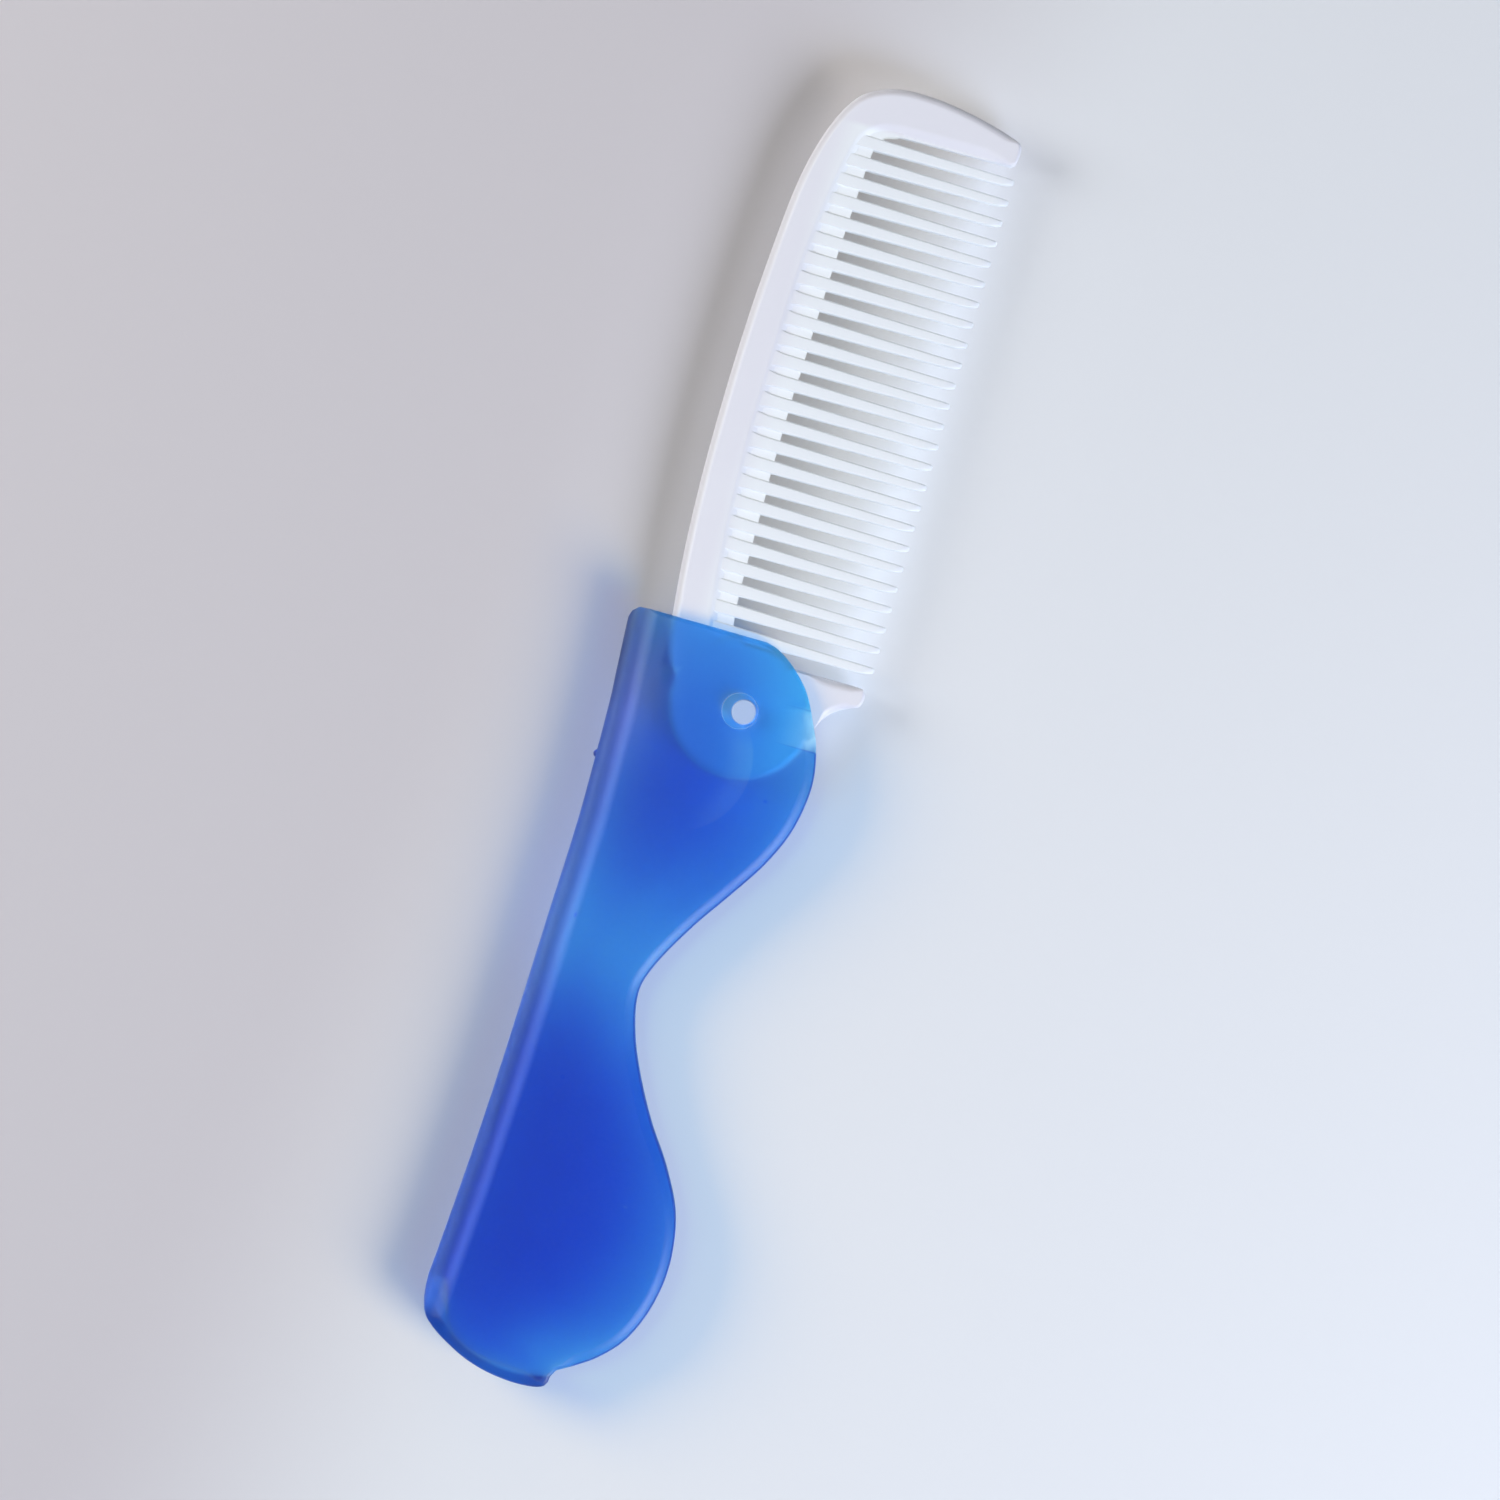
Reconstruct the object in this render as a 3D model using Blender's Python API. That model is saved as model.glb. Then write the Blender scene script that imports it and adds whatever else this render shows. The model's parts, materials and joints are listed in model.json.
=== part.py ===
# Folding pocket comb: a white comb blade that swings out of a translucent blue handle about one pin.
# It lies open on its lower cheek, at z = 0, with the blade along +Y and its teeth towards +X.
# The world origin is under the middle of the object's box. Both pieces are modelled about the pivot's
# axis, so plan coordinates in the tables are millimetres from the pivot, and z is height above the table.

import math

import bmesh
import bpy
from mathutils import Vector
from mathutils.geometry import interpolate_bezier

MM = 0.001

# The pivot's axis in the world
PIVOT = (2.275 * MM, 4.114 * MM)

# Handle: a channel of two cheeks, a spine and an end wall
HANDLE_THICKNESS = 8.0 * MM
WALL = 1.5 * MM
RIM_RADIUS = 1.2 * MM
HOLLOW_TOP = 16.0 * MM
HOLLOW_FOOT = -89.0 * MM
HOLLOW_REACH = 20.0 * MM
HOLE_RADIUS = 2.4 * MM
HOLE_OFFSET = -0.42 * MM
RAMP_START = 4.5 * MM
RAMP_END = 12.5 * MM
RAMP_DEPTH = 0.9 * MM
RAMP_LOW = -2.6 * MM
RAMP_HIGH = 2.5 * MM

# Comb: all of it lies about the handle's middle plane
MIDDLE = HANDLE_THICKNESS / 2
COMB_THICKNESS = 4.2 * MM
BACK_RADIUS = 1.1 * MM
SLOPE_WIDTH = 1.15 * MM
SLOPE_DROP = 1.4 * MM
WEB_THICKNESS = 1.6 * MM
PIN_RADIUS = 1.65 * MM
PIN_RECESS = 0.3 * MM
DISC_RADIUS = 9.55 * MM
DISC_CENTRE = (-0.5 * MM, 0.6 * MM)
DISC_RELIEF = 0.05 * MM

# Teeth: regular ribs from the back to the tips
TOOTH_COUNT = 25
TOOTH_PITCH = 2.754 * MM
FIRST_TOOTH = 9.6 * MM
TOOTH_EDGE = 0.3 * MM
TOOTH_EDGE_SHARE = 0.6

# How finely the round shapes are divided, and the least height between two rings of a body
SIDES_OF_HOLE = 40
SIDES_OF_DISC = 64
SPINE_STEPS = 7
HOLLOW_STEPS = 6
EDGE_STEPS = 3
LEAST_STEP = 0.01 * MM

# Plan outlines, x and y in millimetres from the pivot
SPINE_SIDE = (
    (-17.85, 6.6),
    (-17.5, 1.0),
    (-17.2, -4.0),
    (-16.95, -16.0),
    (-17.0, -23.0),
    (-17.3, -33.0),
    (-17.6, -46.0),
    (-17.9, -56.0),
    (-18.4, -67.0),
    (-19.0, -77.0),
    (-19.35, -81.5),
)
FOOT = (
    (-19.35, -81.5),
    (-19.1, -84.2),
    (-18.2, -86.6),
    (-16.4, -88.2),
    (-14.2, -89.5),
    (-11.9, -90.6),
    (-9.1, -91.45),
    (-6.2, -91.9),
    (-3.6, -91.95),
    (-1.75, -91.65),
    (-0.85, -91.2),
    (-0.5, -90.6),
    (-0.45, -89.9),
)
WAVE_SIDE = (
    (0.1, -88.85),
    (2.6, -87.4),
    (5.3, -85.35),
    (7.9, -82.2),
    (9.8, -77.4),
    (10.5, -71.6),
    (9.5, -65.4),
    (6.7, -59.8),
    (3.2, -54.7),
    (0.2, -49.4),
    (-2.05, -44.2),
    (-3.16, -38.9),
    (-2.0, -34.6),
    (1.3, -28.6),
    (4.8, -23.4),
    (8.1, -18.2),
    (10.3, -13.0),
    (11.15, -7.2),
    (10.45, -2.4),
    (8.95, 1.25),
    (7.0, 4.85),
    (4.4, 7.5),
    (2.1, 9.0),
    (0.4, 9.55),
)
TOP_CORNER = (
    (-15.9, 9.54),
    (-17.0, 9.3),
    (-17.6, 8.75),
    (-17.9, 7.8),
)

# The hollow's edge along the end wall, from the spine to the mouth
END_WALL_INNER = (
    (-15.4, -86.4),
    (-14.0, -88.1),
    (-11.7, -89.3),
    (-9.1, -90.0),
    (-6.2, -90.2),
    (-3.6, -90.4),
    (-1.75, -90.9),
    (-1.2, -90.7),
    (-1.0, -89.9),
)

# Stop lug, just below the shoulder of the tang
STOP_LUG = ((-10.4, 2.25), (-11.2, 3.15), (-11.95, 1.9), (-10.95, 0.7))

# The thick part of the blade, anticlockwise from the tang
HEEL_LOWER = (
    (-9.3, 0.9),
    (-7.0, -1.5),
    (7.0, -1.5),
    (9.08, -0.8),
    (9.35, 0.4),
    (9.9, 1.6),
    (10.7, 2.95),
    (11.7, 3.85),
    (12.9, 4.35),
    (14.1, 4.9),
    (14.35, 6.0),
    (13.9, 6.9),
)
HEEL_UPPER = (
    (12.6, 7.2),
    (-3.4, 7.2),
)
SPINE_INNER = (
    (-5.0, 7.9),
    (-6.0, 10.0),
    (-6.8, 15.5),
    (-7.5, 24.0),
    (-7.9, 33.0),
    (-7.95, 45.0),
    (-7.7, 56.0),
    (-7.2, 63.0),
    (-6.4, 69.4),
    (-5.5, 74.2),
)
GUARD_INNER = (
    (-4.6, 76.2),
    (-2.8, 77.25),
    (0.0, 77.5),
    (12.5, 77.7),
)
GUARD_END = (
    (13.6, 77.8),
    (14.3, 78.4),
    (14.45, 79.5),
    (14.0, 80.4),
)
BACK = (
    (12.8, 81.2),
    (9.4, 82.15),
    (5.0, 82.95),
    (0.6, 83.65),
    (-2.2, 83.6),
    (-5.2, 82.75),
    (-7.6, 81.1),
    (-9.6, 78.1),
    (-11.2, 73.6),
    (-12.4, 67.5),
    (-13.2, 58.0),
    (-13.7, 48.0),
    (-13.88, 37.5),
    (-13.75, 28.0),
    (-13.3, 18.5),
    (-12.6, 11.0),
    (-12.1, 7.2),
    (-11.6, 4.9),
    (-11.0, 3.55),
    (-9.8, 2.2),
)

# Where the web ends and each slot between the teeth is open
WEB_END = (
    (1.2, 78.1),
    (0.0, 77.4),
    (-3.65, 76.7),
    (-3.95, 74.4),
    (-4.35, 67.0),
    (-4.75, 57.0),
    (-5.0, 44.0),
    (-5.0, 30.0),
    (-4.85, 18.0),
    (-4.55, 12.0),
    (-3.9, 8.4),
    (-3.4, 6.6),
)

# The web's edge inside the frame, from the heel up to the guard
WEB_ROOT = (
    (-6.0, 6.6),
    (-7.0, 10.0),
    (-7.8, 15.5),
    (-8.5, 24.0),
    (-8.9, 33.0),
    (-8.95, 45.0),
    (-8.7, 56.0),
    (-8.2, 63.0),
    (-7.4, 69.4),
    (-6.5, 74.2),
    (-4.6, 78.4),
)

# Sections of a tooth along x: place, half width, lean of the middle towards +Y, half height
TOOTH_SECTIONS = (
    (-9.20, 0.80, 0.00, 1.98),
    (-5.00, 0.80, 0.00, 1.88),
    (4.00, 0.68, 0.00, 1.50),
    (12.70, 0.57, 0.00, 1.05),
    (13.90, 0.43, 0.12, 0.88),
    (14.60, 0.26, 0.22, 0.62),
    (14.80, 0.12, 0.26, 0.40),
)


def clear_scene():
    for old in list(bpy.data.objects):
        bpy.data.objects.remove(old)


def plastic(name, colour, roughness, transmission):
    material = bpy.data.materials.new(name)
    material.use_nodes = True
    shader = material.node_tree.nodes["Principled BSDF"]
    shader.inputs["Base Color"].default_value = (*colour, 1.0)
    shader.inputs["Roughness"].default_value = roughness
    shader.inputs["Metallic"].default_value = 0.0
    shader.inputs["Transmission Weight"].default_value = transmission
    return material


def millimetres(table):
    return [Vector((x * MM, y * MM)) for x, y in table]


def smooth_line(points, steps):
    """Points along a smooth curve through the given points, with `steps` pieces between neighbours."""
    line = [points[0]]
    for i in range(len(points) - 1):
        start, end = points[i], points[i + 1]
        before = points[max(i - 1, 0)]
        after = points[min(i + 2, len(points) - 1)]
        handle_out = start + (end - before) / 6
        handle_in = end - (after - start) / 6
        line += interpolate_bezier(start, handle_out, handle_in, end, steps + 1)[1:]
    return [Vector((p.x, p.y)) for p in line]


def x_at(line, y):
    """The x of a line that runs along y, straight on past its ends."""
    line = sorted(line, key=lambda p: p.y)
    for low, high in zip(line, line[1:]):
        if y <= high.y or high is line[-1]:
            return low.x + (high.x - low.x) * (y - low.y) / (high.y - low.y)


def new_object(name, mesh_maker, material=None):
    mesh = bpy.data.meshes.new(name)
    mesh_maker.to_mesh(mesh)
    mesh_maker.free()
    obj = bpy.data.objects.new(name, mesh)
    bpy.context.scene.collection.objects.link(obj)
    if material:
        mesh.materials.append(material)
    return obj


def skin_rings(rings):
    """A closed body through rings of points that lie above each other and have the same count."""
    bm = bmesh.new()
    loops = [[bm.verts.new(point) for point in ring] for ring in rings]
    count = len(loops[0])
    for lower, upper in zip(loops, loops[1:]):
        for i in range(count):
            j = (i + 1) % count
            bm.faces.new((lower[i], lower[j], upper[j], upper[i]))
    bm.faces.new(list(reversed(loops[0])))
    bm.faces.new(loops[-1])
    bmesh.ops.recalc_face_normals(bm, faces=bm.faces)
    return bm


def prism(outline, bottom, top):
    return skin_rings([[(p.x, p.y, z) for p in outline] for z in (bottom, top)])


def inset(outline, depths):
    """The outline moved inwards, each point by its own depth along the mean normal of its two edges."""
    moved = []
    for i, depth in enumerate(depths):
        along = (outline[(i + 1) % len(outline)] - outline[i - 1]).normalized()
        moved.append(outline[i] + Vector((-along.y, along.x)) * depth)
    return moved


def round_depth(radius, height):
    """How far a quarter round of this radius has drawn back at this height above its edge."""
    if height >= radius:
        return 0.0
    return radius - math.sqrt(radius ** 2 - (radius - height) ** 2)


def heights(bottom, top, radius, steps):
    """Heights of the rings of a body whose edges are rounded, evenly spread round the arc."""
    rises = [radius * (1 - math.cos(math.pi / 2 * i / steps)) for i in range(steps + 1)]
    middle = (bottom + top) / 2
    below = [bottom + rise for rise in rises if bottom + rise < middle - LEAST_STEP]
    return below + [middle] + [bottom + top - z for z in reversed(below)]


def rounded_body(outline, spine, bottom, top, spine_radius, rim_radius, steps):
    """A plate with the given outline, a half-round along its spine and quarter-round rims elsewhere."""
    rings = []
    for z in heights(bottom, top, spine_radius, steps):
        rise = min(z - bottom, top - z)
        plan = inset(outline, [round_depth(rim_radius, rise)] * len(outline))
        drawn_back = round_depth(spine_radius, rise)
        rings.append([(max(p.x, x_at(spine, p.y) + drawn_back), p.y, z) for p in plan])
    return skin_rings(rings)


def boolean(target, cutter, operation):
    modifier = target.modifiers.new(cutter.name, "BOOLEAN")
    modifier.operation = operation
    modifier.object = cutter
    modifier.solver = "EXACT"
    cutter.hide_render = True
    cutter.display_type = "WIRE"
    cutter.parent = target


def round_bar(name, radius, bottom, top, centre, sides):
    ring = [
        Vector((
            centre[0] + radius * math.cos(2 * math.pi * i / sides),
            centre[1] + radius * math.sin(2 * math.pi * i / sides),
        ))
        for i in range(sides)
    ]
    return new_object(name, prism(ring, bottom, top))


def ramp_cutter(name, side):
    """A wedge cut from a cheek's inner face: nothing at its start, deepest past the cheek's edge."""
    face = MIDDLE + side * (HANDLE_THICKNESS / 2 - WALL)
    rings = []
    for y in (RAMP_LOW, RAMP_HIGH):
        rings.append([
            (RAMP_START, y, face),
            (RAMP_END, y, face + side * RAMP_DEPTH),
            (RAMP_END, y, face - side * WALL),
            (RAMP_START, y, face - side * WALL),
        ])
    return new_object(name, skin_rings(rings))


def make_handle(material):
    spine = smooth_line(millimetres(SPINE_SIDE), 1)
    outline = (
        spine
        + smooth_line(millimetres(FOOT), 1)[1:]
        + smooth_line(millimetres(WAVE_SIDE), 2)
        + millimetres(TOP_CORNER)
    )
    shell = rounded_body(outline, spine, 0.0, HANDLE_THICKNESS, HANDLE_THICKNESS / 2, RIM_RADIUS, SPINE_STEPS)
    handle = new_object("handle", shell, material)

    inner_spine = [Vector((p.x + WALL, p.y)) for p in spine]
    hollow_outline = (
        [Vector((inner_spine[0].x, HOLLOW_TOP))]
        + inner_spine[:-1]
        + millimetres(END_WALL_INNER)
        + [Vector((HOLLOW_REACH, HOLLOW_FOOT)), Vector((HOLLOW_REACH, HOLLOW_TOP))]
    )
    hollow = rounded_body(
        hollow_outline,
        inner_spine,
        WALL,
        HANDLE_THICKNESS - WALL,
        HANDLE_THICKNESS / 2 - WALL,
        0.0,
        HOLLOW_STEPS,
    )
    boolean(handle, new_object("handle_hollow", hollow), "DIFFERENCE")

    hole = round_bar("handle_hole", HOLE_RADIUS, -MM, HANDLE_THICKNESS + MM, (HOLE_OFFSET, 0.0), SIDES_OF_HOLE)
    boolean(handle, hole, "DIFFERENCE")
    for side, name in ((-1, "handle_ramp_lower"), (1, "handle_ramp_upper")):
        boolean(handle, ramp_cutter(name, side), "DIFFERENCE")

    lug = prism(millimetres(STOP_LUG), WALL / 2, HANDLE_THICKNESS - WALL / 2)
    boolean(handle, new_object("handle_stop_lug", lug), "UNION")
    return handle


def comb_frame():
    """The thick part of the blade: back, guard and heel, with round outer edges and sloped inner ones."""
    back = smooth_line(millimetres(BACK), 2)
    heel_upper = millimetres(HEEL_UPPER)
    spine_inner = smooth_line(millimetres(SPINE_INNER), 1)
    guard_inner = millimetres(GUARD_INNER)
    sloped = heel_upper + spine_inner + guard_inner
    heel_lower = millimetres(HEEL_LOWER)
    rounded = millimetres(GUARD_END) + back
    outline = heel_lower + sloped + rounded
    half = COMB_THICKNESS / 2
    bottom, top = MIDDLE - half, MIDDLE + half
    rings = []
    for z in heights(bottom, top, BACK_RADIUS, EDGE_STEPS):
        rise = min(z - bottom, top - z)
        round_edge = round_depth(BACK_RADIUS, rise)
        slope = SLOPE_WIDTH * max(0.0, 1 - rise / SLOPE_DROP)
        depths = [round_edge] * len(heel_lower) + [slope] * len(sloped) + [round_edge] * len(rounded)
        rings.append([(p.x, p.y, z) for p in inset(outline, depths)])
    return skin_rings(rings)


def comb_web():
    outline = millimetres(WEB_END + WEB_ROOT)
    return prism(outline, MIDDLE - WEB_THICKNESS / 2, MIDDLE + WEB_THICKNESS / 2)


def tooth(bm, y):
    """One tooth: an eight-sided rib that thins towards its tip."""
    loops = []
    for x, half_width, lean, half_height in TOOTH_SECTIONS:
        x, half_width, lean, half_height = x * MM, half_width * MM, lean * MM, half_height * MM
        edge = min(TOOTH_EDGE, half_width * TOOTH_EDGE_SHARE)
        corners = (
            (half_width, half_height - edge),
            (half_width - edge, half_height),
            (edge - half_width, half_height),
            (-half_width, half_height - edge),
            (-half_width, edge - half_height),
            (edge - half_width, -half_height),
            (half_width - edge, -half_height),
            (half_width, edge - half_height),
        )
        loops.append([bm.verts.new((x, y + lean + dy, MIDDLE + dz)) for dy, dz in corners])
    for near, far in zip(loops, loops[1:]):
        for i in range(len(near)):
            j = (i + 1) % len(near)
            bm.faces.new((near[i], near[j], far[j], far[i]))
    bm.faces.new(list(reversed(loops[0])))
    bm.faces.new(loops[-1])


def comb_teeth():
    bm = bmesh.new()
    for number in range(TOOTH_COUNT):
        tooth(bm, FIRST_TOOTH + number * TOOTH_PITCH)
    bmesh.ops.recalc_face_normals(bm, faces=bm.faces)
    return bm


def make_comb(material):
    comb = new_object("comb", comb_frame(), material)
    boolean(comb, new_object("comb_web", comb_web()), "UNION")
    boolean(comb, new_object("comb_teeth", comb_teeth()), "UNION")
    half = COMB_THICKNESS / 2 - DISC_RELIEF
    disc = round_bar("comb_disc", DISC_RADIUS, MIDDLE - half, MIDDLE + half, DISC_CENTRE, SIDES_OF_DISC)
    boolean(comb, disc, "UNION")
    pin = round_bar("comb_pin", PIN_RADIUS, PIN_RECESS, HANDLE_THICKNESS - PIN_RECESS, (0.0, 0.0), SIDES_OF_HOLE)
    boolean(comb, pin, "UNION")
    return comb


def main():
    clear_scene()
    blue = plastic("translucent_blue_plastic", (0.015, 0.11, 0.62), 0.35, 0.4)
    white = plastic("white_plastic", (0.80, 0.81, 0.86), 0.4, 0.0)
    for piece in (make_handle(blue), make_comb(white)):
        piece.location = (*PIVOT, 0.0)
        piece.data.shade_smooth()
        piece.data.set_sharp_from_angle(angle=math.radians(35))


main()
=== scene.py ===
import json
import math

import bmesh
import bpy
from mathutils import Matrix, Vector
from mathutils.geometry import interpolate_bezier


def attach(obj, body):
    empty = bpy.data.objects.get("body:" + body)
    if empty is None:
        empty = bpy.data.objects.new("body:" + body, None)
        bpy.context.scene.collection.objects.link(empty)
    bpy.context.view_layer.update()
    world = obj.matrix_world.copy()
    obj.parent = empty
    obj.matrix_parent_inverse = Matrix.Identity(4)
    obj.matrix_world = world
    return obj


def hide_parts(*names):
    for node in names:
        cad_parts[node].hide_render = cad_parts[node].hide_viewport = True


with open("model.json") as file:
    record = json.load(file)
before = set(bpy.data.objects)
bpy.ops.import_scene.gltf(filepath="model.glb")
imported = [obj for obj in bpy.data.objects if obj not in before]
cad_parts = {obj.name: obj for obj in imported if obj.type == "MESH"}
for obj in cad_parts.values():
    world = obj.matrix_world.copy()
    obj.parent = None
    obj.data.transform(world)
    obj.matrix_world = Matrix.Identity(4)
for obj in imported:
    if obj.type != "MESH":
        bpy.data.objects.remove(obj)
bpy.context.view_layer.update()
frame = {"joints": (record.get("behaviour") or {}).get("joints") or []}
print("frame loaded")

mm = 0.001
hinge = frame["joints"][0]
pivot = Vector(hinge["pos_m"])  # the pin's axis, half way up the handle
leastStep = 0.01  # millimetres between two rings of a body

# Plan points are millimetres from the pin's axis, heights are millimetres above the table.

handleShape = {
    "thickness": 8.0,
    "wall": 1.5,
    "rim": 1.5,  # width of the soft bevel along the cheeks' wavy edge
    "topRim": 0.6,  # the top end is crisper
    "lipRim": 0.5,
    "rimDrop": 0.62,  # the bevel's height for its width
    "rimPower": 1.35,  # 1 is a flat bevel, 2 a round one
    "mouthEdge": 0.15,  # the cheek's inner corner
    "lipFade": (1.2, 4.0),  # distances from the foot's lip between which its rim becomes the usual one
    "topFade": (-2.0, 3.0),  # y between which the rim becomes the top's
    "mouthFade": (-15.5, -14.0),  # x between which the inner corner starts
    "pointGap": 0.55,
    "spineSteps": 18,
    "rimSteps": 9,
    "rimExtra": (0.6, 0.8, 0.9, 0.97),  # more rings where the bevel meets the flat, as shares of its height
    "mouthSteps": (0.0, 0.5, 0.87, 1.0),
    "smoothAngle": 35,
    "spine": [
        (-17.85, 6.6), (-17.5, 1.0), (-17.2, -4.0), (-16.95, -16.0), (-17.0, -23.0), (-17.3, -33.0),
        (-17.6, -46.0), (-17.9, -56.0), (-18.4, -67.0), (-19.0, -77.0), (-19.33, -81.5),
    ],
    "foot": [
        (-19.33, -81.5), (-19.1, -84.2), (-18.2, -86.6), (-16.4, -88.2), (-14.2, -89.5), (-11.9, -90.6),
        (-9.1, -91.45), (-6.2, -91.87), (-3.6, -91.92), (-1.75, -91.65), (-0.85, -91.2), (-0.5, -90.6),
        (-0.45, -89.9),
    ],
    "wave": [
        (0.1, -88.85), (2.6, -87.4), (5.3, -85.35), (7.9, -82.2), (9.8, -77.4), (10.5, -71.6), (9.5, -65.4),
        (6.7, -59.8), (3.2, -54.7), (0.2, -49.4), (-2.05, -44.2), (-3.16, -38.9), (-2.0, -34.6), (1.3, -28.6),
        (4.8, -23.4), (8.1, -18.2), (10.3, -13.0), (11.15, -7.2), (10.45, -2.4), (8.95, 1.25), (7.0, 4.85),
        (4.4, 7.5), (2.1, 9.0), (0.4, 9.53),
    ],
    "top": [
        (0.4, 9.53), (-4.0, 9.54), (-10.0, 9.54), (-15.9, 9.52), (-17.0, 9.3), (-17.6, 8.75), (-17.9, 7.8),
    ],
    "endWall": [
        (-15.4, -86.4), (-14.0, -88.1), (-11.7, -89.3), (-9.1, -90.0), (-6.2, -90.2), (-3.6, -90.4),
        (-1.75, -90.9), (-1.2, -90.65), (-1.05, -89.7),
    ],
    "innerFillet": 0.35,
    "filletSteps": 4,
    "hollowSteps": 12,
    "hollowCorner": 3.0,  # how far above the end wall the hollow's straight side stops
    "cutReach": (20.0, 16.0, -89.0),  # how far the hollow's cutter runs right, up and down
}

holeShape = {"x": -0.56, "radius": 2.4, "flare": 0.14, "flareSteps": (1.0, 0.7, 0.4, 0.15, 0.0), "sides": 72}
rampShape = {"start": 4.5, "end": 12.5, "depth": 0.9, "low": -2.6, "high": 2.5}
lugShape = {"plan": [(-10.4, 2.25), (-11.2, 3.15), (-11.95, 1.9), (-10.95, 0.7)], "edge": 0.2, "steps": 4}
nubShape = {  # what the gate left on the spine
    "at": (-16.98, -10.4),
    "radius": 0.45,
    "proud": 0.43,
    "stretch": (1.0, 1.15, 0.75),
    "sides": (16, 10),
}


def roundDepth(radius, rise):  # how far a quarter round has drawn back at a height above its edge
    if rise >= radius:
        return 0.0
    return radius - math.sqrt(radius ** 2 - (radius - rise) ** 2)


def rimDepth(width, rise):  # the same for a soft bevel, flatter than a quarter round
    s = handleShape
    left = 1 - rise / (width * s["rimDrop"])
    if left <= 0:
        return 0.0
    return width * (1 - (1 - left ** s["rimPower"]) ** (1 / s["rimPower"]))


def curveThrough(points, gap):  # a smooth line through the points, in steps of about the gap
    spots = [Vector(p) for p in points]
    line = [spots[0]]
    for i in range(len(spots) - 1):
        start, end = spots[i], spots[i + 1]
        before = spots[max(i - 1, 0)]
        after = spots[min(i + 2, len(spots) - 1)]
        count = max(1, round((end - start).length / gap))
        leaving = start + (end - before) / 6
        arriving = end - (after - start) / 6
        line += interpolate_bezier(start, leaving, arriving, end, count + 1)[1:]
    return [Vector(p[:2]) for p in line]


def lineX(line, y):  # where a line that runs along y crosses a height, and straight on past its ends
    rising = sorted(line, key=lambda p: p.y)
    for low, high in zip(rising, rising[1:]):
        if y <= high.y or high is rising[-1]:
            return low.x + (high.x - low.x) * (y - low.y) / (high.y - low.y)


def drawnIn(outline, depths):  # an anticlockwise outline, each point moved inwards by its own depth
    moved = []
    for i, depth in enumerate(depths):
        along = (outline[(i + 1) % len(outline)] - outline[i - 1]).normalized()
        moved.append(outline[i] + Vector((-along.y, along.x)) * depth)
    return moved


def smoothStep(value, low, high):
    t = min(max((value - low) / (high - low), 0.0), 1.0)
    return t * t * (3 - 2 * t)


def ringStack(rings):  # the first ring is extruded up through the others and closed at both ends
    bm = bmesh.new()
    place = bm.verts.layers.int.new("place")
    first = [bm.verts.new(p) for p in rings[0]]
    for i, vert in enumerate(first):
        vert[place] = i
    edges = [bm.edges.new((first[i - 1], first[i])) for i in range(len(first))]
    bmesh.ops.edgeloop_fill(bm, edges=edges)
    for ring in rings[1:]:
        grown = bmesh.ops.extrude_edge_only(bm, edges=edges)["geom"]
        verts = {g for g in grown if isinstance(g, bmesh.types.BMVert)}
        for vert in verts:
            vert.co = ring[vert[place]]
        edges = [g for g in grown if isinstance(g, bmesh.types.BMEdge) and set(g.verts) <= verts]
    bmesh.ops.edgeloop_fill(bm, edges=edges)
    bmesh.ops.recalc_face_normals(bm, faces=bm.faces)
    bm.verts.layers.int.remove(place)
    return bm


def toObject(name, bm):  # from millimetres about the pin to metres in the frame
    bmesh.ops.scale(bm, vec=(mm, mm, mm), verts=bm.verts)
    bmesh.ops.translate(bm, vec=(pivot.x, pivot.y, 0.0), verts=bm.verts)
    mesh = bpy.data.meshes.new(name)
    bm.to_mesh(mesh)
    bm.free()
    piece = bpy.data.objects.new(name, mesh)
    bpy.context.scene.collection.objects.link(piece)
    return piece


def combine(target, other, operation):  # an exact Boolean, applied at once
    change = target.modifiers.new(other.name, "BOOLEAN")
    change.operation = operation
    change.object = other
    change.solver = "EXACT"
    graph = bpy.context.evaluated_depsgraph_get()
    result = bpy.data.meshes.new_from_object(target.evaluated_get(graph))
    target.modifiers.clear()
    target.data = result
    bpy.data.objects.remove(other)


def finishShading(piece, angle):  # rounded edges shade smooth while the flats stay flat
    piece.data.shade_smooth()
    piece.data.set_sharp_from_angle(angle=math.radians(angle))
    weighted = piece.modifiers.new("flats stay flat", "WEIGHTED_NORMAL")
    weighted.keep_sharp = True


def arcHeights(radius, steps):
    return [radius * (1 - math.cos(math.pi / 2 * i / steps)) for i in range(steps + 1)]


def mirroredHeights(rises, thickness):  # the rises from the lower face, and the same down from the upper one
    below = []
    for rise in sorted(rises):
        isNew = not below or rise > below[-1] + leastStep
        if isNew and rise < thickness / 2 - leastStep:
            below.append(rise)
    return below + [thickness / 2] + [thickness - r for r in reversed(below)]


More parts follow.
